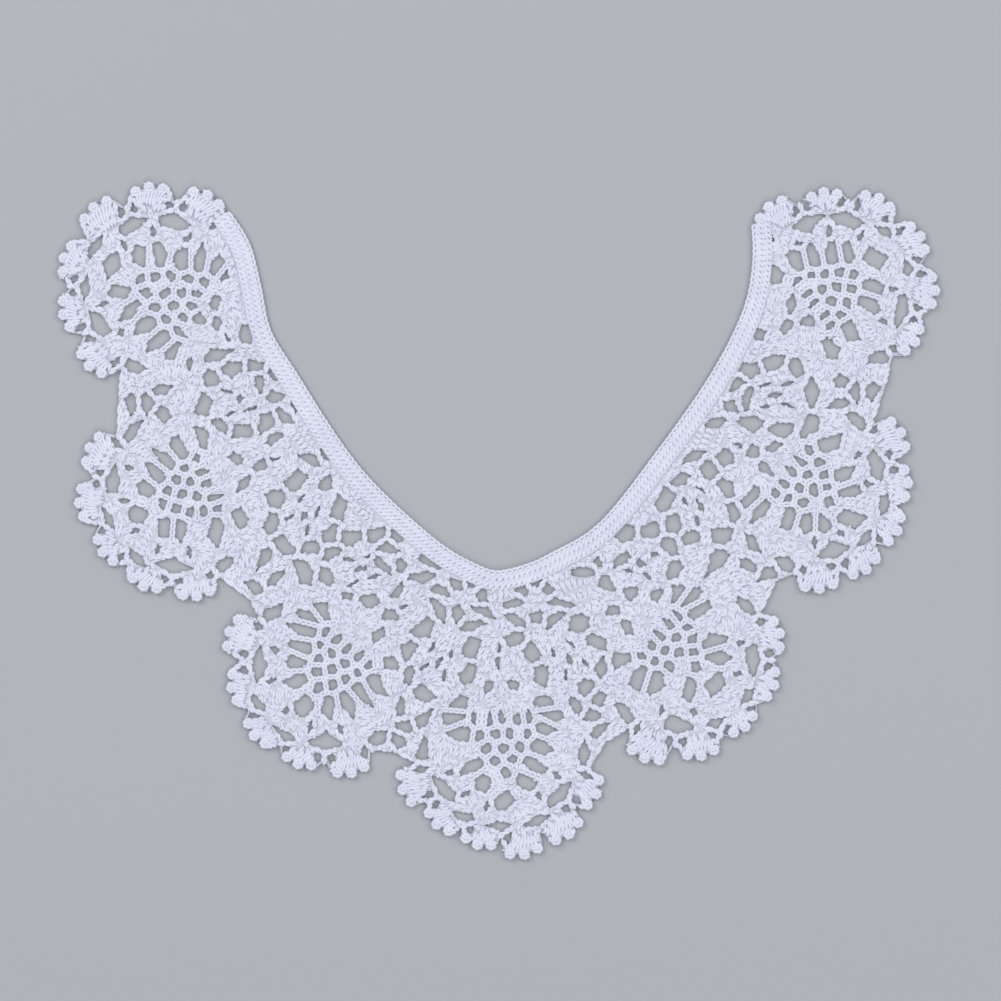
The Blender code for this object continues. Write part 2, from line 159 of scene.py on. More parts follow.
TIP_GAP = (7.2, 7.6)             # length, width
RIM_GAP = (27.2, 10.4, 5.4)      # between two fans: distance from the middle, length, width
TIP_RIM_GAP = (29.6, 7.4, 3.6)   # the same beside the tip of the net
TIP_TURN = 31.0                  # degrees from the net's middle line that count as beside its tip
RIM_END_GAP = (31.0, 8.0, 4.8)   # past the last fan: the same three
RIM_END_TURN = 8.5               # degrees from the end of the edging to that gap

# Small gaps that are only in the stitches: distance out, distance across, length, width, lean in degrees
LEAF_SLITS = ((0.0, 0.0, 3.0, 1.8, 90), (-4.0, 4.0, 3.6, 0.9, 80), (4.5, 4.5, 3.4, 0.9, 70))
APEX_SLITS = ((7.0, 0.0, 3.4, 0.9, 90),)
SHELL_SLIT = (22.5, 3.0, 1.6)    # at each shell: distance from the middle, length, width
ROOT_SLIT = (32.8, 3.2, 2.2)     # on either side of a fan's root: the same three
ROOT_TURN = 4.4                  # degrees from the line between two fans to that slit

# Stitches
PLY = 0.68               # radius of the thread
PLY_PITCH = 1.1          # length of one turn of its plies
BAND_EDGE = 0.9          # the braid's middle line lies this far from the neckline
BAND_PITCH = 2.05        # one post of the neckband to the next
BAND_WIDTH = 1.3         # how much broader than others these posts are
BAND_ROWS = ((1.0, 4.9), (3.9, 7.7))     # near and far end of the posts in each row of the neckband
LINK_PITCH = 2.2         # one chain link to the next
LINK_THREAD = 0.56       # radius of the thread in a link
PICOT_THREAD = 0.74      # and in a picot's ring
PICOT_HEART = 1.35       # radius of the knot that closes a picot's middle
# Posts: length, turns of the two threads round each other, rings of points along them
POSTS = {"short": (2.8, 0.5, 6), "post": (5.0, 1.0, 8), "double": (5.2, 1.0, 9), "long": (8.5, 1.5, 12)}
SHORT_POST = 3.6         # a post shorter than this has the short shape
LONG_POST = 7.2          # and one longer than this the long shape
LIFT = 0.08              # how much stitches differ in height
STRAND_REACH = 2.4       # how far a strand may lie outside its gap
WIDE_STRAND = 3.4        # wider than this takes two strands side by side
SOLID = 5.6              # wider than this is left to the fans
LEAST_STRAND = 1.2       # a shorter run between two gaps has no strand
STRAND_PAST = 0.6        # a strand's ends run on past it
STRAND_BREADTH = 2.5     # breadth of a plain strand
STRAND_SPARE = 0.9       # a strand is this much broader than the thread it fills
STRAND_WIDTHS = (0.95, 1.25)     # least and most against a plain strand
# Posts of the three rows of a solid triangle: how many, the row's breadth at its foot and at its top
TRIANGLE_ROWS = ((7, 13.0, 14.0), (6, 12.0, 10.0), (4, 8.5, 4.5))
# Fans: degrees from the first post to the last at the top, posts, near and far end, degrees at the foot
BASE_FAN = (150, 9, 1.6, 7.0, 150)
PICOT_FAN = (17.5, 8, 30.0, 38.2, 8.0)
SHELL_STAR = 22.5        # posts radiate from points this far from a medallion's middle below its fans
SIDE_STAR = 25.0         # and this far out on its sides
SIDE_TURNS = (26, 56)    # degrees past the first and last fan
LEAF_STAR = 10.0         # and this far past a leaf's middle
ROW_CLEARANCE = 0.9      # a charted post keeps this far from another stitch
LEAST_ROW = 2.4          # and is left out where it would be shorter than this
CELL = 0.25              # the fine grid on which the fans are laid out
FAR = 3.0                # the grid notes distances to a stitch up to this
MARGIN = 3               # and it reaches this far past the collar
GROUND_EDGE = 0.4        # the ground under the stitches keeps this far from a gap
GROUND_RIM = 0.45        # and this far from the collar's outline
GROUND_THICKNESS = 0.5
GROUND_HEIGHT = 0.75     # of its middle over the floor
EDGE = 0.85              # a stitch's middle line keeps this far from a gap
RIM_OFFSET = 1.0         # a stitch along a gap's side lies this far from it
RIM_CLEARANCE = 1.1      # and is left out where another stitch is nearer than this
LEAST_RIM = 1.6          # a shorter side of a gap has no stitch of its own
TRACE_STEP = 0.4
END_PAST = 1.0           # a post's ends run on under its neighbours
LIE_STEP = 1.0           # the lie of the posts is worked out on squares of this size
FILL_PITCH = 1.9         # one filling post to the next
FILL_WIDTH = 1.12        # how much broader than others the filling posts are
FILL_STEP = 1.2          # places tried along a stitch for the one beside it
FILL_REACH = 3.8         # how far a filling post runs each way
FILL_CLEARANCE = 1.5     # it ends this far from the stitch ahead
LEAST_FILL = 2.0         # and is left out where it would be shorter than this
# What the filling leaves bare is closed in passes: reach each way, clearance, least length
CLOSING_PASSES = ((3.0, 1.4, 1.6), (1.6, 1.1, 0.0))
SEED = 11
COTTON = (0.775, 0.80, 0.91)
# Colour of the ground sheet, darker than the thread: painted shade in the chinks between the stitches
GROUND_PAINTED_SHADE = (0.70, 0.725, 0.82)
# Painted shade on the thread's sides, where it meets its neighbours, against its top: in the open lace and in
# the neckband
OPEN_CREASE_PAINTED_SHADE = (0.71, 0.72, 0.76)
BAND_CREASE_PAINTED_SHADE = (0.84, 0.85, 0.88)
FLOOR_GREY = (0.432, 0.442, 0.47, 1)

# Studio, in metres and watts: name, place, breadth, power
LIGHTS = (
    ("softbox_left", (-1.2, 1.0, 1.4), 1.4, 17.7), ("softbox_right", (1.3, 0.5, 1.5), 1.6, 12.1),
    ("softbox_front", (0.1, -1.4, 1.5), 1.6, 8.8),
)
DAYLIGHT = (0.95, 0.97, 1.0, 1)
DAYLIGHT_STRENGTH = 0.485
CAMERA_PLACE = (0.0007, 0.00777, 1.6)
PICTURE_WIDTH = 0.3854   # what the picture spans on the floor
SENSOR = 36              # millimetres


def angle_of(x, y):
    return math.degrees(math.atan2(y, x))


def polar(middle, radius, degrees):
    turn = math.radians(degrees)
    return middle[0] + radius * math.cos(turn), middle[1] + radius * math.sin(turn)


def distance(a, b):
    return math.hypot(a[0] - b[0], a[1] - b[1])


def between(a, b, share):
    return a[0] + (b[0] - a[0]) * share, a[1] + (b[1] - a[1]) * share


def way_to(a, b):
    """The direction from a to b."""
    length = distance(a, b)
    return (b[0] - a[0]) / length, (b[1] - a[1]) / length


def moved(point, way, length):
    return point[0] + way[0] * length, point[1] + way[1] * length


def how_far(point, origin, way):
    """How far a point lies from the origin in a direction."""
    return (point[0] - origin[0]) * way[0] + (point[1] - origin[1]) * way[1]


class Chart:
    """A motif's own axes: out along its middle line, and across it."""

    def __init__(self, origin, aim, stretch=1.0):
        self.origin = origin
        self.out = way_to(origin, aim)
        self.across = (-self.out[1], self.out[0])
        self.stretch = stretch

    def place(self, out, across):
        out *= self.stretch
        return tuple(self.origin[i] + self.out[i] * out + self.across[i] * across for i in (0, 1))

    def lean(self, degrees):
        return angle_of(*self.across) - degrees


def uneven(place, which):
    """A number from -1 to 1 that is always the same for a place, so that no two gaps are quite alike."""
    return math.sin(place[0] * UNEVEN[0] + place[1] * UNEVEN[1] + which * UNEVEN[2])


def gap(place, length, width, degrees, kind="post"):
    return {
        "place": (place[0] + HAND_SHIFT * uneven(place, 1), place[1] + HAND_SHIFT * uneven(place, 2)),
        "length": length * (1 + HAND * uneven(place, 3)),
        "width": width * (1 + HAND * uneven(place, 4)),
        "degrees": degrees + HAND_LEAN * uneven(place, 5),
        "kind": kind,
    }


def charted(chart, rows, kind="post"):
    """The gaps of a chart, each row with its mirror image unless it lies on the middle line."""
    made = []
    for out, across, length, width, lean in rows:
        for side in ((1, -1) if across else (1,)):
            made.append(gap(chart.place(out, side * across), length, width, chart.lean(side * lean), kind))
    return made


def smooth_line(points, step):
    """A smooth curve through the points, with a point about every step."""
    line = []
    for i in range(len(points) - 1):
        before, start, end, after = (
            points[max(i - 1, 0)], points[i], points[i + 1], points[min(i + 2, len(points) - 1)])
        count = max(1, round(distance(start, end) / step))
        for k in range(count):
            t = k / count
            line.append(tuple(
                0.5 * (2 * start[a] + (end[a] - before[a]) * t
                       + (2 * before[a] - 5 * start[a] + 4 * end[a] - after[a]) * t * t
                       + (3 * start[a] - before[a] - 3 * end[a] + after[a]) * t ** 3)
                for a in (0, 1)))
    line.append(points[-1])
    return line


def pushed_out(line, depth):
    """The line moved away from the neck opening, which lies on its left."""
    moved = []
    for i, point in enumerate(line):
        before, after = line[max(i - 1, 0)], line[min(i + 1, len(line) - 1)]
        length = distance(before, after)
        moved.append((
            point[0] + (after[1] - before[1]) / length * depth,
            point[1] - (after[0] - before[0]) / length * depth))
    return moved


def evened(line, pitch):
    """Points at even distances along a line, about a pitch apart."""
    lengths = np.cumsum([0.0] + [distance(line[i], line[i + 1]) for i in range(len(line) - 1)])
    stops = np.linspace(0, lengths[-1], max(1, round(lengths[-1] / pitch)) + 1)
    xs, ys = zip(*line)
    return list(zip(np.interp(stops, lengths, xs), np.interp(stops, lengths, ys)))


def nearest(line, point):
    return min(range(len(line)), key=lambda i: distance(line[i], point))


def arc(middle, radius, first, last):
    """Points on a circle from first to last degrees, on whole steps so that neighbours share them."""
    low, high = min(first, last), max(first, last)
    steps = range(math.ceil(low / ARC_STEP + 0.3), math.floor(high / ARC_STEP - 0.3) + 1)
    turns = [low] + [s * ARC_STEP for s in steps] + [high]
    if last < first:
        turns.reverse()
    return [polar(middle, radius, turn) for turn in turns]


class Medallion:
    """One pineapple: its base fan, middle, tip and picot fans."""

    def __init__(self, base_x, base_y, mid_x, mid_y, reach, first_fan, last_fan, fans, rises):
        self.base = (base_x, base_y)
        self.middle = (mid_x, mid_y)
        self.reach = reach
        self.fans = fans
        self.rises = rises
        self.pitch = (last_fan - first_fan) / (fans - 1)
        self.first_fan = first_fan
        self.start = first_fan - self.pitch / 2
        self.end = last_fan + self.pitch / 2
        turn = angle_of(base_x - mid_x, base_y - mid_y)
        while turn < self.end:
            turn += 360
        self.top = turn

    def fan_turns(self):
        return [self.first_fan + fan * self.pitch for fan in range(self.fans)]

    def chart(self):
        return Chart(self.base, self.middle, self.reach / FULL_REACH)

    def body(self):
        """Outline of the net and its shells."""
        shells = arc(self.middle, SHELL_RADIUS, self.start, self.end)
        return shells + arc(self.middle, NET_RADIUS, self.end, self.start + 360)

    def rim(self):
        """Outer line of the picot fans, from the first to the last."""
        line = [polar(self.middle, DIP_RADIUS, self.start)]
        for turn, rise in zip(self.fan_turns(), self.rises):
            for picot in (-1, 0, 1):
                radius = PICOT_RADIUS + rise + (0 if picot else MIDDLE_PICOT_RISE)
                line += self.picot(turn + picot * PICOT_SPREAD, radius)
                if picot < 1:
                    valley = turn + (picot + 0.5) * PICOT_SPREAD
                    line.append(polar(self.middle, VALLEY_RADIUS + rise, valley))
            line.append(polar(self.middle, DIP_RADIUS, turn + self.pitch / 2))
        return line

    def end_side(self):
        """The side towards the yoke, from past the last fan to the top."""
        corner = [polar(self.middle, radius, self.end) for radius in (DIP_RADIUS, SHELL_RADIUS)]
        return corner + arc(self.middle, NET_RADIUS, self.end, self.top)

    def start_side(self):
        """The side towards the yoke, from the top to before the first fan."""
        corner = [polar(self.middle, radius, self.start) for radius in (SHELL_RADIUS, DIP_RADIUS)]
        return arc(self.middle, NET_RADIUS, self.top, self.start + 360) + corner

    def edging(self):
        """Outline of the picot fans."""
        return arc(self.middle, SHELL_RADIUS, self.end, self.start) + self.rim()

    def picot(self, turn, radius):
        centre = polar(self.middle, radius, turn)
        return [polar(centre, PICOT_SIZE, turn + bend) for bend in PICOT_BENDS]

    def gaps(self):
        chart = self.chart()
        made = charted(chart, SIDE_GAPS, "chain")
        made.append(gap(polar(self.base, self.reach, self.top + 180), *TIP_GAP, 0, "chain"))
        turns = []
        for fan in range(1, self.fans):
            turn = self.start + fan * self.pitch
            beside_tip = abs((turn - self.top) % 360 - 180) < TIP_TURN
            turns.append((turn, TIP_RIM_GAP if beside_tip else RIM_GAP))
        turns += [(self.start - RIM_END_TURN, RIM_END_GAP), (self.end + RIM_END_TURN, RIM_END_GAP)]
        for turn, (out, length, width) in turns:
            made.append(gap(polar(self.middle, out, turn), length, width, turn + 90))
        for out, pitch, count, length, width in NET_ROWS:
            for i in range(count):
                across = (i - (count - 1) / 2) * pitch
                made.append(gap(chart.place(out, across), length, width, chart.lean(90), "chain"))
        return made

    def slits(self):
        made = []
        for turn in self.fan_turns():
            out, length, width = SHELL_SLIT
            made.append(gap(polar(self.middle, out, turn), length, width, turn, "slit"))
        for turn in self.fan_turns():
            for side in (-1, 1):
                out, length, width = ROOT_SLIT
                away = turn + side * (self.pitch / 2 - ROOT_TURN)
                made.append(gap(polar(self.middle, out, away), length, width, away, "slit"))
        return made


def mirrored(point, middle):
    """The place on the other side of a middle."""
    return 2 * middle[0] - point[0], 2 * middle[1] - point[1]


def all_gaps(medallions, seam_line):
    """Every gap of the lace, the largest of each repeat first."""
    middles = [leaf[2:] for leaf in LEAVES]
    leaves = [Chart(leaf[2:], mirrored(leaf[:2], leaf[2:])) for leaf in LEAVES]
    free_apexes = [Chart(free[:2], free[2:]) for free in FREE_TRIANGLES]
    apexes = [Chart(apex, medallion.base) for apex, medallion in zip(TRIANGLES, medallions)]
    notches = [Chart(notch, middles[nearest(middles, notch)]) for notch in NOTCHES]
    joints = [Chart(leaf[:2], mirrored(seam_line[nearest(seam_line, leaf[:2])], leaf[:2])) for leaf in LEAVES]
    repeats = (
        (leaves, LEAF_GAPS, "post"), (free_apexes, FREE_APEX_GAPS, "post"), (apexes, APEX_GAPS, "post"),
        (notches, NOTCH_GAPS, "post"), (joints, JOINT_GAPS, "post"), (leaves, LEAF_SLITS, "slit"),
        (apexes, APEX_SLITS, "slit"))
    made = [hole for medallion in medallions for hole in medallion.gaps()]
    for charts, rows, kind in repeats:
        for chart in charts:
            made += charted(chart, rows, kind)
    return made + [slit for medallion in medallions for slit in medallion.slits()]


def reach_towards(hole, direction):
    """How far an oval gap reaches from its middle in a direction."""
    turn = math.radians(hole["degrees"])
    along = direction[0] * math.cos(turn) + direction[1] * math.sin(turn)
    beside = direction[1] * math.cos(turn) - direction[0] * math.sin(turn)
    return math.hypot(hole["length"] / 2 * along, hole["width"] / 2 * beside)


def reach_of_shape(hole, direction):
    """How far the cut gap reaches from its middle in a direction."""
    return max(how_far(p, hole["place"], direction) for p in hole["shape"])


def apart(hole, other):
    """Whether two gaps lie far enough apart for thread between them."""
    return distance(hole["place"], other["place"]) > APART_SHARE * (hole["width"] + other["width"]) + APART


def spaced(gaps):
    """The gaps without those that would run into an earlier one."""
    kept = []
    for hole in gaps:
        if all(apart(hole, other) for other in kept):
            kept.append(hole)
    return kept


def oval(hole, count, grown=0.0, corner=0.0):
    """A gap's outline, pointed at both ends, with uneven corners."""
    turn = math.radians(hole["degrees"])
    points = []
    for i in range(count):
        a = 2 * math.pi * i / count
        reach = 1 + corner * uneven(hole["place"], i)
        x = (hole["length"] * HALF_LENGTH + grown) * math.cos(a) * abs(math.cos(a)) ** POINT * reach
        y = (hole["width"] * HALF_WIDTH + grown) * math.sin(a) * reach
        points.append((
            hole["place"][0] + x * math.cos(turn) - y * math.sin(turn),
            hole["place"][1] + x * math.sin(turn) + y * math.cos(turn)))
    return points


def trimmed(outline, point, direction):
    """The part of an outline that lies before the line through point across direction."""
    past = [how_far(p, point, direction) for p in outline]
    kept = []
    for i, p in enumerate(outline):
        k = (i + 1) % len(outline)
        if past[i] <= 0:
            kept.append(p)
        if past[i] * past[k] < 0:
            kept.append(between(p, outline[k], past[i] / (past[i] - past[k])))
    return kept


def area(outline):
    total = 0
    for i, p in enumerate(outline):
        q = outline[(i + 1) % len(outline)]
        total += p[0] * q[1] - p[1] * q[0]
    return total / 2


def breadth(outline):
    around = sum(distance(p, outline[i - 1]) for i, p in enumerate(outline))
    return 2 * abs(area(outline)) / around


def inside(outline, point):
    hit = False
    for i, p in enumerate(outline):
        q = outline[(i + 1) % len(outline)]
        if (p[1] > point[1]) != (q[1] > point[1]):
            if point[0] < p[0] + (q[0] - p[0]) * (point[1] - p[1]) / (q[1] - p[1]):
                hit = not hit
    return hit


def on_segment(p, q, point):
    """The point of segment p q that is nearest to point."""
    share = how_far(point, p, (q[0] - p[0], q[1] - p[1])) / max(distance(p, q) ** 2, 1e-9)
    return between(p, q, min(max(share, 0), 1))


def half_way(hole, other, reach_of=reach_towards):
    """The thread between two gaps: its middle line's distance from the first, the direction, its width."""
    between_middles = distance(hole["place"], other["place"])
    way = way_to(hole["place"], other["place"])
    mine, theirs = reach_of(hole, way), reach_of(other, (-way[0], -way[1]))
    return mine + (between_middles - mine - theirs) / 2, way, between_middles - mine - theirs


def neighbours(hole, gaps):
    return [other for other in gaps if other is not hole and distance(hole["place"], other["place"]) <= REACH]


def cut_gap(hole, gaps, outline):
    """The gap's outline, with thread left between it and its neighbours and along the piece's edge."""
    shape = oval(hole, 8 if hole["length"] > LONG_GAP else 6, 0.0, CORNER)
    here = hole["place"]
    for other in neighbours(hole, gaps):
        reach, way, _ = half_way(hole, other)
        shape = trimmed(shape, moved(here, way, reach - THREAD / 2), way)
    for i, p in enumerate(outline):
        close = on_segment(p, outline[(i + 1) % len(outline)], here)
        if distance(here, close) < NEAR_EDGE:
            way = way_to(here, close)
            shape = trimmed(shape, moved(close, way, -RIM), way)
    return [p for i, p in enumerate(shape) if distance(p, shape[i - 1]) > LEAST_SIDE]


def drawn_in(outline, depth):
    """The outline moved in by depth, or out where depth is negative."""
    if area(outline) < 0:
        outline = outline[::-1]
    made = []
    for i, p in enumerate(outline):
        before, after = outline[i - 1], outline[(i + 1) % len(outline)]
        a, b = distance(before, p), distance(p, after)
        first = (-(p[1] - before[1]) / a, (p[0] - before[0]) / a)
        second = (-(after[1] - p[1]) / b, (after[0] - p[0]) / b)
        sum_x, sum_y = first[0] + second[0], first[1] + second[1]
        scale = 2 * depth / max(sum_x ** 2 + sum_y ** 2, 0.6)
        made.append((p[0] + sum_x * scale, p[1] + sum_y * scale))
    return made


def neckband_outline(neck, seam_line, feet, medallions):
    seam = seam_line[feet[0]:feet[-1] + 1]
    return neck + medallions[-1].end_side() + seam[::-1] + medallions[0].start_side()


def yoke_outline(seam_line, foot, next_foot, medallion, neighbour, notch):
    return seam_line[foot:next_foot + 1] + neighbour.start_side() + [notch] + medallion.end_side()


def collar_outline(neck, medallions):
    """The whole collar's outline: the neckline, then round the medallions from right to left."""
    line = list(neck)
    for i in range(len(medallions) - 1, -1, -1):
        line += medallions[i].rim()[::-1]
        if i:
            line.append(NOTCHES[i - 1])
    return line


class Plan:
    """The whole collar on paper: outlines, gaps and seams."""

    def __init__(self):
        self.medallions = [Medallion(*row, rises) for row, rises in zip(MEDALLIONS, FAN_RISES)]
        self.neck = smooth_line(NECKLINE, NECK_STEP)
        self.seam_line = pushed_out(self.neck, BAND_DEPTH)
        tops = [polar(m.middle, NET_RADIUS, m.top) for m in self.medallions]
        self.feet = [nearest(self.seam_line, top) for top in tops]
        self.outlines = {"neckband": neckband_outline(self.neck, self.seam_line, self.feet, self.medallions)}
        for i, notch in enumerate(NOTCHES):
            medallion, neighbour = self.medallions[i:i + 2]
            self.outlines[f"yoke_{i + 1}"] = yoke_outline(
                self.seam_line, self.feet[i], self.feet[i + 1], medallion, neighbour, notch)
        for i, medallion in enumerate(self.medallions):
            self.outlines[f"pineapple_{i + 1}"] = medallion.body()
            self.outlines[f"edging_{i + 1}"] = medallion.edging()
        self.gaps = []
        self.shapes = []
        collar = collar_outline(self.neck, self.medallions)
        gaps = spaced(all_gaps(self.medallions, self.seam_line))
        for hole in gaps:
            name = self.home(hole["place"])
            if name == "neckband":
                continue
            shape = cut_gap(hole, gaps, collar if hole["kind"] == "slit" else self.outlines[name])
            if len(shape) > 3 and abs(area(shape)) > LEAST_GAP and breadth(shape) > LEAST_BREADTH:
                hole["shape"] = shape
                self.gaps.append(hole)
                self.shapes.append(shape)
        xs, ys = zip(*(point for outline in self.outlines.values() for point in outline))
        self.low, self.high = (min(xs), min(ys)), (max(xs), max(ys))
        self.middle = between(self.low, self.high, 0.5)

    def home(self, point):
        """The piece that a point lies in."""
        return next((n for n, outline in self.outlines.items() if inside(outline, point)), "neckband")


class Grid:
    """The collar on a fine grid: where there is lace, and how far each place is from a stitch."""

    def __init__(self, plan):
        self.low = (plan.low[0] - MARGIN, plan.low[1] - MARGIN)
        self.shape = tuple(int((plan.high[i] - plan.low[i] + 2 * MARGIN) / CELL) + 1 for i in (1, 0))
        self.lace = np.zeros(self.shape, bool)
        self.paint(collar_outline(plan.neck, plan.medallions), True)
        for shape in plan.shapes:
            self.paint(shape, False)
        self.core = self.shrunk(self.lace, EDGE)
        self.away = np.full(self.shape, FAR, np.float32)

    def paint(self, outline, value):
        rows, columns = self.window(outline, 0)
        x, y = self.places(rows, columns)
        hit = np.zeros(x.shape, bool)
        for i, p in enumerate(outline):
            q = outline[(i + 1) % len(outline)]
            if p[1] != q[1]:
                beside = x < p[0] + (q[0] - p[0]) * (y - p[1]) / (q[1] - p[1])
                hit ^= ((p[1] > y) != (q[1] > y)) & beside
        self.lace[rows, columns][hit] = value

    def window(self, points, margin):
        xs, ys = zip(*points)
        cells = []
        for values, low, count in ((ys, self.low[1], self.shape[0]), (xs, self.low[0], self.shape[1])):
            first = max(int((min(values) - margin - low) / CELL), 0)
            last = min(int((max(values) + margin - low) / CELL) + 2, count)
            cells.append(slice(first, last))
        return cells

    def places(self, rows, columns):
        y, x = np.mgrid[rows, columns]
        return self.low[0] + (x + 0.5) * CELL, self.low[1] + (y + 0.5) * CELL

    def shrunk(self, mask, depth):
        made = mask.copy()
        reach = int(depth / CELL)
        for i in range(-reach, reach + 1):
            for k in range(-reach, reach + 1):
                if math.hypot(i, k) * CELL <= depth:
                    made &= np.roll(mask, (i, k), (0, 1))
        return made

    def cell(self, point):
        return int((point[1] - self.low[1]) / CELL), int((point[0] - self.low[0]) / CELL)

    def place_of(self, row, column):
        return self.low[0] + (column + 0.5) * CELL, self.low[1] + (row + 0.5) * CELL

    def open_at(self, point, clearance=0.0):
        """Whether the point is in the lace, with no stitch within the clearance."""
        cell = self.cell(point)
        return self.core[cell] and self.away[cell] >= clearance

    def open_run(self, a, b, clearance=0.0):
        """The longest open stretch from a to b, or None."""
        count = max(2, int(distance(a, b) / CELL))
        best, start = None, None
        for i in range(count + 1):
            good = self.open_at(between(a, b, i / count), clearance)
            if good and start is None:
                start = i
            if start is not None and (not good or i == count):
                last = i if good else i - 1
                if best is None or last - start > best[1] - best[0]:
                    best = (start, last)
                start = None
        if best is None:
            return None
        return between(a, b, best[0] / count), between(a, b, best[1] / count)

    def beside_stitch(self, cell):
        """The direction of the stitch that is nearest to a cell, or None half-way between two."""
        row, column = cell
        rise = self.away[row + 1, column] - self.away[row - 1, column]
        run = self.away[row, column + 1] - self.away[row, column - 1]
        slope = math.hypot(rise, run)
        return (-rise / slope, run / slope) if slope > CELL else None

    def mark(self, line):
        """Note a stitch along a line of points."""
        for a, b in zip(line, line[1:]):
            rows, columns = self.window((a, b), FAR)
            x, y = self.places(rows, columns)
            length = max(distance(a, b) ** 2, 1e-9)
            share = np.clip(((x - a[0]) * (b[0] - a[0]) + (y - a[1]) * (b[1] - a[1])) / length, 0, 1)
            away = np.hypot(x - a[0] - (b[0] - a[0]) * share, y - a[1] - (b[1] - a[1]) * share)
            np.minimum(self.away[rows, columns], away, out=self.away[rows, columns])


def stitch(kind, start, end, width=1.0, bend=None):
    """A stitch from start to end, through the point bend where it isn't straight."""
    bend = bend or between(start, end, 0.5)
    return {"kind": kind, "start": start, "end": end, "width": width, "bend": bend}


def longer(item, way, grid):
    """The stitch with its ends run on by up to END_PAST, along way where it has no length yet."""
    middle = item["bend"]
    for end in ("start", "end"):
        length = distance(middle, item[end])
        if length > 0.3:
            way = way_to(middle, item[end])
        elif end == "end":
            way = (-way[0], -way[1])
        for past in (END_PAST, END_PAST / 2):
            place = moved(item[end], way, past)
            if grid.core[grid.cell(place)]:
                item[end] = place
                break
    return item


def bent_line(item):
    return [item["start"], item["bend"], item["end"]]


def strands(plan):
    """One or two strands along the thread between each gap and its neighbours."""
    cells = []
    for hole in plan.gaps:
        shape = oval(hole, 18, STRAND_REACH)
        for other in neighbours(hole, plan.gaps):
            reach, way, _ = half_way(hole, other, reach_of_shape)
            shape = trimmed(shape, moved(hole["place"], way, reach), way)
        cells.append(shape)
    made = []
    for i, hole in enumerate(plan.gaps):
        for k in range(i + 1, len(plan.gaps)):
            other = plan.gaps[k]
            if distance(hole["place"], other["place"]) > REACH:
                continue
            reach, way, width = half_way(hole, other, reach_of_shape)
            if width > SOLID:
                continue
            run = shared_run(cells[i], cells[k], moved(hole["place"], way, reach), way)
            if run is None:
                continue
            kind = "chain" if hole["kind"] == other["kind"] == "chain" else "post"
            for side in ((0.25, -0.25) if width > WIDE_STRAND else (0.0,)):
                off = (way[0] * side * width, way[1] * side * width)
                start, end = [moved(point, off, 1) for point in run]
                made.append(stitch(kind, start, end, strand_width(width)))
    return made


def strand_width(width):
    """How broad the strand is, against others, that fills a thread of this width."""
    least, most = STRAND_WIDTHS
    return min(max((width + STRAND_SPARE) / STRAND_BREADTH, least), most)


def shared_run(cell, other, point, way):
    """The stretch of the line through point across way that both cells have as an edge, or None."""
    along = (-way[1], way[0])
    low, high = -1e9, 1e9
    for shape in (cell, other):
        on_line = [how_far(p, point, along) for p in shape if abs(how_far(p, point, way)) < 1e-6]
        if len(on_line) < 2:
            return None
        low, high = max(low, min(on_line)), min(high, max(on_line))
    if high - low < LEAST_STRAND:
        return None
    return moved(point, along, low - STRAND_PAST), moved(point, along, high + STRAND_PAST)


def neckband_rows(plan):
    """A braid along the neckline and two rows of short posts."""
    made = []
    edge = evened(pushed_out(plan.neck, BAND_EDGE), LINK_PITCH)
    for i in range(len(edge) - 1):
        made.append(stitch("link", edge[i], edge[i + 1]))
    for near, far in BAND_ROWS:
        inner = evened(pushed_out(plan.neck, near), BAND_PITCH)
        outer_line = pushed_out(inner, far - near)
        for start, end in zip(inner, outer_line):
            made.append(stitch("post", start, end, BAND_WIDTH))
    return made


def triangle_rows(apex, seam_line):
    """Three rows of posts that narrow to the apex of a solid triangle."""
    foot = seam_line[nearest(seam_line, apex)]
    chart = Chart(foot, apex)
    height = distance(foot, apex)
    rows = len(TRIANGLE_ROWS)
    made = []
    for row, (count, low_width, high_width) in enumerate(TRIANGLE_ROWS):
        low, high = row * height / rows, (row + 1) * height / rows
        for i in range(count):
            share = i / (count - 1) - 0.5
            start, end = chart.place(low, share * low_width), chart.place(high + 0.5, share * high_width)
            made.append(stitch("double", start, end))
    return made


def fan(middle, turn, spread, count, near, far, near_spread):
    made = []
    for i in range(count):
        share = i / (count - 1) - 0.5
        start = polar(middle, near, turn + share * near_spread)
        made.append(stitch("double", start, polar(middle, far, turn + share * spread)))
    return made


def medallion_fans(medallion):
    made = fan(medallion.base, medallion.top + 180, *BASE_FAN)
    spread, count, near, far, near_spread = PICOT_FAN
    for turn, rise in zip(medallion.fan_turns(), medallion.rises):
        made += fan(medallion.middle, turn, spread, count, near, far + rise, near_spread)
        for picot in (-1, 0, 1):
            radius = PICOT_RADIUS + rise + (0 if picot else MIDDLE_PICOT_RISE)
            place, outward = [
                polar(medallion.middle, out, turn + picot * PICOT_SPREAD) for out in (radius, radius + 1)]
            made.append(stitch("picot", place, outward))
    return made


def rims(plan, grid):
    """A straight stitch along each side of a gap, and of the outline, that has none yet."""
    made = []
    lines = [drawn_in(shape, -RIM_OFFSET) for shape in plan.shapes]
    lines.append(drawn_in(collar_outline(plan.neck, plan.medallions), RIM_OFFSET))
    for line in lines:
        for i, p in enumerate(line):
            run = grid.open_run(p, line[(i + 1) % len(line)], RIM_CLEARANCE)
            if run and distance(*run) > LEAST_RIM:
                item = longer(stitch("post", *run), (0, 0), grid)
                made.append(item)
                grid.mark(bent_line(item))
    return made


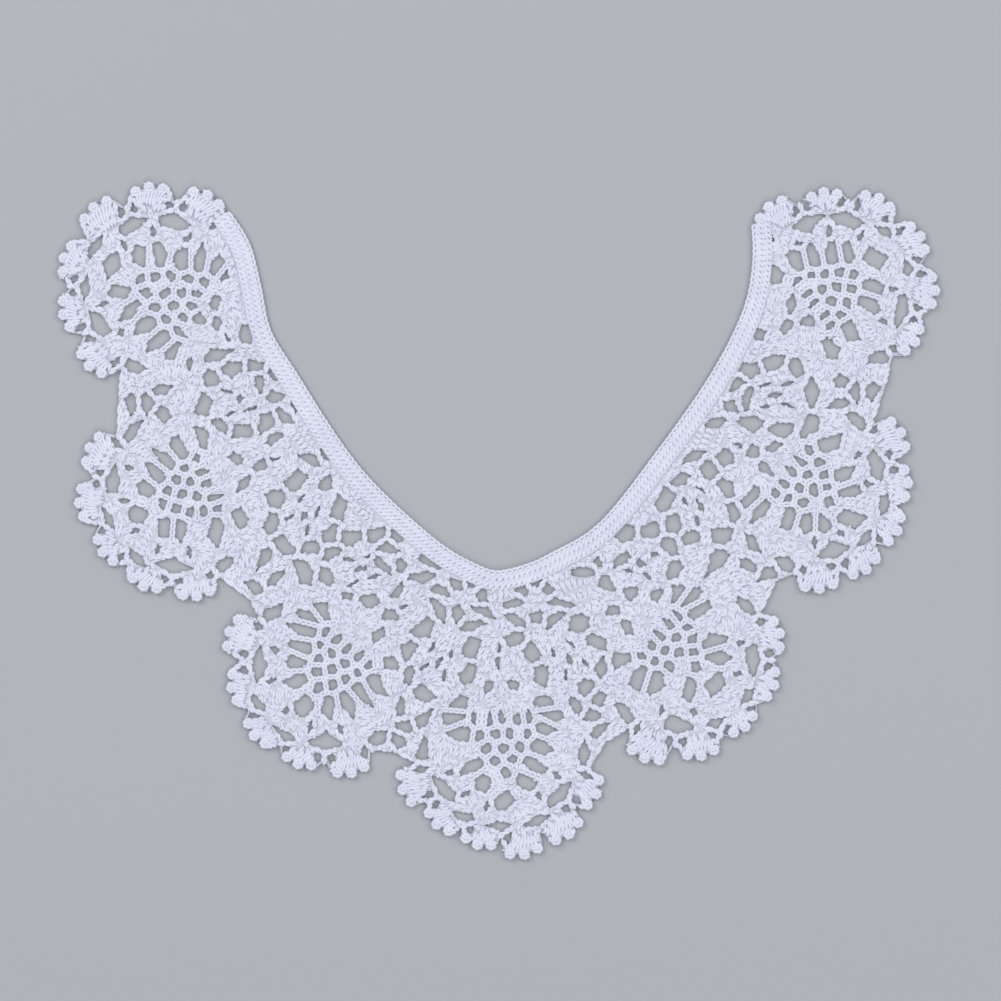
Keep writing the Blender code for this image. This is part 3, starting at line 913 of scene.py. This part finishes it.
class Stars:
    """The points that posts radiate from, and the lie of the posts between them."""

    def __init__(self, plan):
        made = []
        for medallion in plan.medallions:
            made.append(medallion.base)
            for turn in medallion.fan_turns():
                made.append(polar(medallion.middle, SHELL_STAR, turn))
            for past in SIDE_TURNS:
                for turn in (medallion.end + past, medallion.start - past):
                    made.append(polar(medallion.middle, SIDE_STAR, turn))
        for leaf in LEAVES:
            made.append(leaf[:2])
            made.append(between(leaf[2:], leaf[:2], -LEAF_STAR / distance(leaf[:2], leaf[2:])))
        made += TRIANGLES
        made += [free[:2] for free in FREE_TRIANGLES]
        made += NOTCHES
        self.places = made
        self.low = plan.low
        xs = np.arange(plan.low[0], plan.high[0] + 2, LIE_STEP)
        ys = np.arange(plan.low[1], plan.high[1] + 2, LIE_STEP)
        self.ways = self.lies(*np.meshgrid(xs, ys))

    def lies(self, x, y):
        """Direction of the posts: lines that radiate from the stars, blended by nearness."""
        along, beside = np.zeros(x.shape), np.zeros(x.shape)
        for star in self.places:
            off_x, off_y = x - star[0], y - star[1]
            square = off_x ** 2 + off_y ** 2
            weight = (square + 0.3) ** -2.5
            along += weight * (off_x ** 2 - off_y ** 2)
            beside += weight * 2 * off_x * off_y
        turn = np.arctan2(beside, along) / 2
        return np.stack((np.cos(turn), np.sin(turn)), axis=-1)

    def square(self, point):
        return int((point[1] - self.low[1]) / LIE_STEP + 0.5), int((point[0] - self.low[0]) / LIE_STEP + 0.5)

    def lie(self, point):
        way = self.ways[self.square(point)]
        return float(way[0]), float(way[1])

    def trace(self, here, grid, reach, clearance):
        """A line through a point along the lie, both ways until it meets an edge or another stitch."""
        ends = []
        for sign in (1, -1):
            line = [here]
            way = tuple(sign * w for w in self.lie(here))
            for _ in range(int(reach / TRACE_STEP)):
                ahead = self.lie(line[-1])
                if ahead[0] * way[0] + ahead[1] * way[1] < 0:
                    ahead = (-ahead[0], -ahead[1])
                way = ahead
                point = moved(line[-1], way, TRACE_STEP)
                if not grid.open_at(point, clearance):
                    break
                line.append(point)
            ends.append(line)
        return ends[1][:0:-1] + ends[0]


def beside(line):
    """Places on both sides of a line, one filling post away."""
    made = []
    points = evened(line, FILL_STEP)
    for a, b in zip(points, points[1:]):
        here, share = between(a, b, 0.5), FILL_PITCH / max(distance(a, b), 1e-6)
        for side in (share, -share):
            made.append((here[0] - (b[1] - a[1]) * side, here[1] + (b[0] - a[0]) * side))
    return made


def filling_post(here, stars, grid, reach, clearance, least):
    """A post through a place, noted on the grid, or None where there is no room for it."""
    line = stars.trace(here, grid, reach, clearance)
    if TRACE_STEP * (len(line) - 1) < least:
        return None
    middle = line[len(line) // 2]
    item = longer(stitch("double", line[0], line[-1], FILL_WIDTH, middle), stars.lie(middle), grid)
    grid.mark(bent_line(item))
    return item


def closing_post(cell, stars, grid, reach, clearance, least):
    """A short post along the stitch beside it, noted on the grid, or None where there is no room for it."""
    here = grid.place_of(*cell)
    way = grid.beside_stitch(cell) or stars.lie(here)
    run = grid.open_run(moved(here, way, -reach), moved(here, way, reach), clearance)
    if run is None or distance(*run) < least:
        return None
    item = longer(stitch("double", *run, FILL_WIDTH), way, grid)
    grid.mark(bent_line(item))
    return item


def filling(stars, grid, laid):
    """Posts side by side from the stitches already laid, then short ones in what is still bare."""
    made = []
    waiting = deque(laid)
    while waiting:
        for place in beside(bent_line(waiting.popleft())):
            if grid.open_at(place, FILL_PITCH - CELL):
                item = filling_post(place, stars, grid, FILL_REACH, FILL_CLEARANCE, LEAST_FILL)
                if item:
                    made.append(item)
                    waiting.append(item)
    rows, columns = np.nonzero(grid.core)
    some = (rows % 2 == 0) & (columns % 2 == 0)
    cells = list(zip(rows[some].tolist(), columns[some].tolist()))
    for reach, clearance, least in CLOSING_PASSES:
        for cell in cells:
            if grid.away[cell] >= clearance:
                item = closing_post(cell, stars, grid, reach, clearance, least)
                if item:
                    made.append(item)
    return made


def all_stitches(plan, grid):
    made = strands(plan)
    made += neckband_rows(plan)
    for triangle in TRIANGLES + FREE_TRIANGLES:
        made += triangle_rows(triangle[:2], plan.seam_line)
    for medallion in plan.medallions:
        made += medallion_fans(medallion)
    kept = []
    for item in made:
        if item["kind"] == "double":
            run = grid.open_run(item["start"], item["end"], ROW_CLEARANCE)
            if run is None or distance(*run) < LEAST_ROW:
                continue
            item = stitch("double", *run)
        kept.append(item)
        grid.mark(bent_line(item))
    kept += rims(plan, grid)
    kept += filling(Stars(plan), grid, kept)
    return kept


class Form:
    """A stitch's shape: points as share along, distance across and height, with faces and their UVs."""

    def __init__(self):
        self.points = np.zeros((0, 3))
        self.faces = np.zeros((0, 4), int)
        self.uvs = np.zeros((0, 4, 2))

    def add(self, points, faces, uvs):
        self.faces = np.vstack((self.faces, faces + len(self.points)))
        self.points = np.vstack((self.points, points))
        self.uvs = np.vstack((self.uvs, uvs))

    def shared_along(self, length):
        self.points[:, 0] /= length
        return self


def tube(path, radii, closed=False):
    """A thread along a path of points, as points, faces and a UV for each face corner."""
    count, sides = len(path), 6
    if closed:
        tangent = np.roll(path, -1, 0) - np.roll(path, 1, 0)
    else:
        tangent = np.gradient(path, axis=0)
    tangent /= np.linalg.norm(tangent, axis=1)[:, None]
    side = np.cross(UP, tangent)
    side /= np.linalg.norm(side, axis=1)[:, None]
    top = np.cross(tangent, side)
    turn = 2 * np.pi * np.arange(sides) / sides
    ring = np.cos(turn)[None, :, None] * side[:, None, :] + np.sin(turn)[None, :, None] * top[:, None, :]
    points = (path[:, None, :] + ring * np.asarray(radii)[:, None, None]).reshape(-1, 3)
    steps = np.linalg.norm(np.diff(np.vstack((path, path[:1])), axis=0), axis=1)
    along = np.concatenate(([0.0], np.cumsum(steps))) / PLY_PITCH
    faces, uvs = [], []
    for i in range(count if closed else count - 1):
        k = (i + 1) % count
        for j in range(sides):
            n = (j + 1) % sides
            faces.append((i * sides + j, i * sides + n, k * sides + n, k * sides + j))
            v, w = j / sides, (j + 1) / sides
            uvs.append(((along[i] + v, v), (along[i] + w, w), (along[i + 1] + w, w), (along[i + 1] + v, v)))
    if not closed:
        last = (count - 1) * sides
        caps = [(3, 2, 1, 0), (5, 4, 3, 0)]
        caps += [tuple(last + corner for corner in cap) for cap in ((0, 1, 2, 3), (0, 3, 4, 5))]
        for cap in caps:
            faces.append(cap)
            uvs.append(((0, 0),) * 4)
    return points, np.array(faces), np.array(uvs, float)


def twisted_pair(length, turns, rings):
    """Two threads that twist round each other, with rounded ends that dive into the next stitch."""
    form = Form()
    share = np.linspace(0, 1, rings)
    edge = np.abs(2 * share - 1)
    for phase in (0.25, 1.25):
        angle = math.pi * phase + 2 * math.pi * turns * share
        path = np.column_stack((
            share * length, 0.50 * np.cos(angle), 0.28 * np.sin(angle) - 0.40 * edge ** 6))
        form.add(*tube(path, PLY * np.sqrt(1.03 - edge ** 8)))
    return form.shared_along(length)


def chain_link(length=LINK_PITCH):
    """One loop of a chain, its tail low inside the loop before it."""
    form = Form()
    count = 9
    turn = 2 * np.pi * np.arange(count) / count
    path = np.column_stack((
        length * (0.5 + 0.72 * np.cos(turn)),
        0.60 * np.sin(turn) * (1 + 0.35 * np.cos(turn)),
        0.32 * np.cos(turn)))
    form.add(*tube(path, np.full(count, LINK_THREAD), True))
    return form.shared_along(length)


def picot_knot():
    """A loop of chain pulled tight: a ring of two threads twisted together, closed over its middle."""
    form = Form()
    count = 14
    turn = 2 * np.pi * np.arange(count) / count
    for phase in (0, math.pi):
        twist = 3 * turn + phase
        radius = 1.42 + 0.34 * np.cos(twist)
        path = np.column_stack((radius * np.cos(turn), radius * np.sin(turn), 0.30 * np.sin(twist)))
        form.add(*tube(path, np.full(count, PICOT_THREAD), True))
    share = np.linspace(-1, 1, 5)
    path = np.column_stack((0.9 * share, 0 * share, np.full(5, 0.12)))
    form.add(*tube(path, PICOT_HEART * np.sqrt(1.06 - share ** 2)))
    return form


def forms():
    made = {name: twisted_pair(*post) for name, post in POSTS.items()}
    return made | {"link": chain_link(), "picot": picot_knot()}


class Thread:
    """The stitches of one piece, gathered for one mesh."""

    def __init__(self, middle, height):
        self.middle = middle
        self.height = height
        self.parts = []
        self.count = 0

    def bend(self, form, start, end, width, lift, through=None):
        """Lay a form along a curve from start to end through a third point, pressed flat below."""
        start, end = np.array(start), np.array(end)
        through = (start + end) / 2 if through is None else np.array(through)
        pull = 2 * through - (start + end) / 2
        share = form.points[:, :1]
        line = (1 - share) ** 2 * start + 2 * share * (1 - share) * pull + share ** 2 * end
        way = (1 - share) * (pull - start) + share * (end - pull)
        way /= np.linalg.norm(way, axis=1)[:, None]
        side = np.column_stack((-way[:, 1], way[:, 0]))
        flat = line - self.middle + form.points[:, 1:2] * side * width
        high = np.maximum(form.points[:, 2] + self.height / 2 + lift, 0.0)
        points = np.column_stack((flat, high))
        self.parts.append((points, form.faces + self.count, form.uvs))
        self.count += len(points)

    def lay(self, item, shapes, lift):
        start, end, width = item["start"], item["end"], item["width"]
        length = distance(start, end)
        kind = item["kind"]
        if kind == "picot":
            self.bend(shapes["picot"], start, end, 1.0, lift)
        elif kind in ("link", "chain"):
            stops = evened([start, end], LINK_PITCH)
            for i in range(len(stops) - 1):
                self.bend(shapes["link"], stops[i], stops[i + 1], width, lift)
        else:
            name = "short" if length < SHORT_POST else "long" if length > LONG_POST else kind
            self.bend(shapes[name], start, end, width, lift, item["bend"])

    def piece(self, name, material):
        points = np.vstack([part[0] for part in self.parts]) * MM
        faces = np.vstack([part[1] for part in self.parts])
        uvs = np.vstack([part[2] for part in self.parts])
        mesh = bpy.data.meshes.new(name)
        mesh.vertices.add(len(points))
        mesh.vertices.foreach_set("co", points.ravel())
        mesh.loops.add(faces.size)
        mesh.loops.foreach_set("vertex_index", faces.ravel())
        mesh.polygons.add(len(faces))
        mesh.polygons.foreach_set("loop_start", np.arange(0, faces.size, 4))
        mesh.polygons.foreach_set("use_smooth", np.ones(len(faces), bool))
        mesh.uv_layers.new(name="thread").data.foreach_set("uv", uvs.ravel())
        mesh.update(calc_edges=True)
        mesh.validate()
        mesh.materials.append(material)
        piece = bpy.data.objects.new(name, mesh)
        bpy.context.scene.collection.objects.link(piece)
        return piece


class Finish:
    """A material and its nodes. Each socket is given a value, or another node's output to be joined to."""

    def __init__(self, name, **sockets):
        self.material = bpy.data.materials.new(name)
        self.material.use_nodes = True
        self.tree = self.material.node_tree
        self.shader = self.tree.nodes["Principled BSDF"]
        self.plug(self.shader, sockets)

    def plug(self, node, sockets):
        for name, value in sockets.items():
            socket = node.inputs[name.replace("_", " ")]
            if isinstance(value, bpy.types.NodeSocket):
                self.tree.links.new(value, socket)
            else:
                socket.default_value = value

    def add(self, kind, **sockets):
        node = self.tree.nodes.new("ShaderNode" + kind)
        self.plug(node, sockets)
        return node

    def worked_out(self, operation, value, factor=None):
        node = self.add("Math")
        node.operation = operation
        self.tree.links.new(value, node.inputs[0])
        if factor is not None:
            node.inputs[1].default_value = factor
        return node.outputs["Value"]

    def tones(self, value, low, low_colour, high, high_colour):
        """A colour from low_colour, where the value is low, to high_colour."""
        ramp = self.add("ValToRGB", Fac=value)
        for stop, position, colour in zip(ramp.color_ramp.elements, (low, high), (low_colour, high_colour)):
            stop.position = position
            stop.color = (*colour, 1)
        return ramp.outputs["Color"]


def thread_cotton(name, colour, sides):
    """Mercerised cotton thread: plies that wind round it, fine fibres, a soft sheen and sides darkened by
    painted shade.
    """
    cotton = Finish(name, Roughness=0.78, Specular_IOR_Level=0.35, Sheen_Weight=0.25, Sheen_Roughness=0.5)
    thread = cotton.add("UVMap")
    thread.uv_map = "thread"
    thread = thread.outputs["UV"]
    place = cotton.add("TexCoord").outputs["Object"]
    plies = cotton.add("TexWave", Vector=thread, Scale=2 * math.pi / 20 * 2)
    fibres = cotton.add("TexNoise", Vector=place, Scale=3500.0, Detail=2.0)
    mottle = cotton.add("TexNoise", Vector=place, Scale=110.0, Detail=2.0)
    deeper = (*[c * 0.93 for c in colour[:2]], colour[2] * 0.96)
    tone = cotton.tones(mottle.outputs["Fac"], 0.3, deeper, 0.7, colour)

    # The UV's second number runs once round the thread, and the size of its sine is 1 on top and below and 0
    # at the sides, where painted shade darkens the colour
    turn = cotton.worked_out("MULTIPLY", cotton.add("SeparateXYZ", Vector=thread).outputs["Y"], 2 * math.pi)
    level = cotton.worked_out("ABSOLUTE", cotton.worked_out("SINE", turn))
    # The thread's own tone multiplied by the painted shade of its sides
    shade = cotton.add("Mix")
    shade.data_type = "RGBA"
    shade.blend_type = "MULTIPLY"
    shade.inputs["Factor"].default_value = 1.0
    cotton.tree.links.new(tone, shade.inputs[6])
    cotton.tree.links.new(cotton.tones(level, 0.25, sides, 0.85, (1, 1, 1)), shade.inputs[7])

    ply_bump = cotton.add("Bump", Height=plies.outputs["Fac"], Strength=0.35, Distance=0.00012)
    fibre_bump = cotton.add("Bump", Height=fibres.outputs["Fac"], Strength=0.25, Distance=0.00006)
    cotton.plug(fibre_bump, {"Normal": ply_bump.outputs["Normal"]})
    cotton.plug(cotton.shader, {"Base Color": shade.outputs[2], "Normal": fibre_bump.outputs["Normal"]})
    return cotton.material


def painted_shade_ground(colour):
    """The ground sheet behind the stitches, seen only in the chinks between them, coloured darker than the
    thread as painted shade there.
    """
    cotton = Finish("cotton_ground_painted_shade", Roughness=0.9)
    place = cotton.add("TexCoord").outputs["Object"]
    weave = cotton.add("TexNoise", Vector=place, Scale=900.0, Detail=3.0).outputs["Fac"]
    # Random weave tone down to 0.7 of the colour, which on average deepens the painted shade
    tone = cotton.tones(weave, 0.0, [c * 0.7 for c in colour], 1.0, colour)
    bump = cotton.add("Bump", Height=weave, Strength=0.6, Distance=0.0002)
    cotton.plug(cotton.shader, {"Base Color": tone, "Normal": bump.outputs["Normal"]})
    return cotton.material


def ground_piece(plan):
    """The thin ground of the whole collar, with every gap open, inside the stitches; it closes the chinks
    between them, and its darker colour is painted shade there.
    """
    curve = bpy.data.curves.new("collar_ground", "CURVE")
    curve.dimensions = "2D"
    curve.fill_mode = "BOTH"
    curve.extrude = GROUND_THICKNESS / 2 * MM
    loops = [drawn_in(collar_outline(plan.neck, plan.medallions), GROUND_RIM)]
    loops += [drawn_in(shape, -GROUND_EDGE) for shape in plan.shapes]
    for loop in loops:
        spline = curve.splines.new("POLY")
        spline.points.add(len(loop) - 1)
        for point, (x, y) in zip(spline.points, loop):
            point.co = ((x - plan.middle[0]) * MM, (y - plan.middle[1]) * MM, 0, 1)
        spline.use_cyclic_u = True
    piece = bpy.data.objects.new("collar_ground", curve)
    bpy.context.scene.collection.objects.link(piece)
    bpy.ops.object.select_all(action="DESELECT")
    piece.select_set(True)
    bpy.context.view_layer.objects.active = piece
    bpy.ops.object.convert(target="MESH")
    bpy.ops.object.mode_set(mode="EDIT")
    bpy.ops.mesh.select_all(action="SELECT")
    bpy.ops.mesh.remove_doubles(threshold=0.000001)
    bpy.ops.transform.translate(value=(0, 0, GROUND_HEIGHT * MM))
    bpy.ops.mesh.normals_make_consistent(inside=False)
    bpy.ops.object.mode_set(mode="OBJECT")
    # Painted shade: the ground is coloured darker than the thread
    piece.data.materials.append(painted_shade_ground(GROUND_PAINTED_SHADE))
    return piece


def floor():
    bpy.ops.mesh.primitive_plane_add(size=6.0, location=(0, 0, -0.0001))
    piece = bpy.context.active_object
    piece.name = "floor"
    grey = Finish("floor_grey", Base_Color=FLOOR_GREY, Roughness=0.95, Specular_IOR_Level=0.2)
    piece.data.materials.append(grey.material)


def area_light(name, place, breadth, power):
    """A round softbox that shines at the collar."""
    light = bpy.data.lights.new(name, "AREA")
    light.shape = "DISK"
    light.size = breadth
    light.energy = power
    lamp = bpy.data.objects.new(name, light)
    lamp.location = place
    aim = -np.array(place)
    turn = math.atan2(aim[1], aim[0]) + math.pi / 2 + math.pi
    lamp.rotation_euler = (math.atan2(math.hypot(aim[0], aim[1]), -aim[2]), 0, turn)
    bpy.context.scene.collection.objects.link(lamp)


def lights():
    for row in LIGHTS:
        area_light(*row)
    world = bpy.data.worlds.new("studio")
    world.use_nodes = True
    world.node_tree.nodes["Background"].inputs["Color"].default_value = DAYLIGHT
    world.node_tree.nodes["Background"].inputs["Strength"].default_value = DAYLIGHT_STRENGTH
    bpy.context.scene.world = world


def picture_tones():
    """Plain tones, so that white cotton stays white."""
    bpy.context.scene.view_settings.view_transform = "Standard"
    bpy.context.scene.view_settings.look = "None"


def camera():
    """Straight above, so that the picture spans what the photograph does."""
    view = bpy.data.cameras.new("camera")
    view.sensor_width = SENSOR
    view.lens = SENSOR * CAMERA_PLACE[2] / PICTURE_WIDTH
    eye = bpy.data.objects.new("camera", view)
    eye.location = CAMERA_PLACE
    bpy.context.scene.collection.objects.link(eye)
    bpy.context.scene.camera = eye


def main():
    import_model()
    bpy.ops.object.select_all(action="DESELECT")
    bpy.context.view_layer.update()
    camera()
    picture_tones()
    lights()
    floor()

    plan = Plan()
    grid = Grid(plan)
    shapes = forms()
    chance = np.random.default_rng(SEED)
    middle = np.array(plan.middle)
    threads = {name: Thread(middle, THICKNESS[name.split("_")[0]]) for name in plan.outlines}
    for item in all_stitches(plan, grid):
        name = plan.home(between(item["start"], item["end"], 0.5))
        threads[name].lay(item, shapes, chance.uniform(-LIFT, LIFT))
    # Each finish darkens the thread's sides with painted shade, less in the neckband
    cotton = {
        kind: thread_cotton(kind + "_cotton", COTTON, BAND_CREASE_PAINTED_SHADE if kind == "neckband" else OPEN_CREASE_PAINTED_SHADE)
        for kind in THICKNESS}
    for name, thread in threads.items():
        kind = name.split("_")[0]
        piece = thread.piece(name + "_stitches", cotton[kind])
        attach(piece, "root")
        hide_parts(name)
    ground = ground_piece(plan)
    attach(ground, "root")


main()
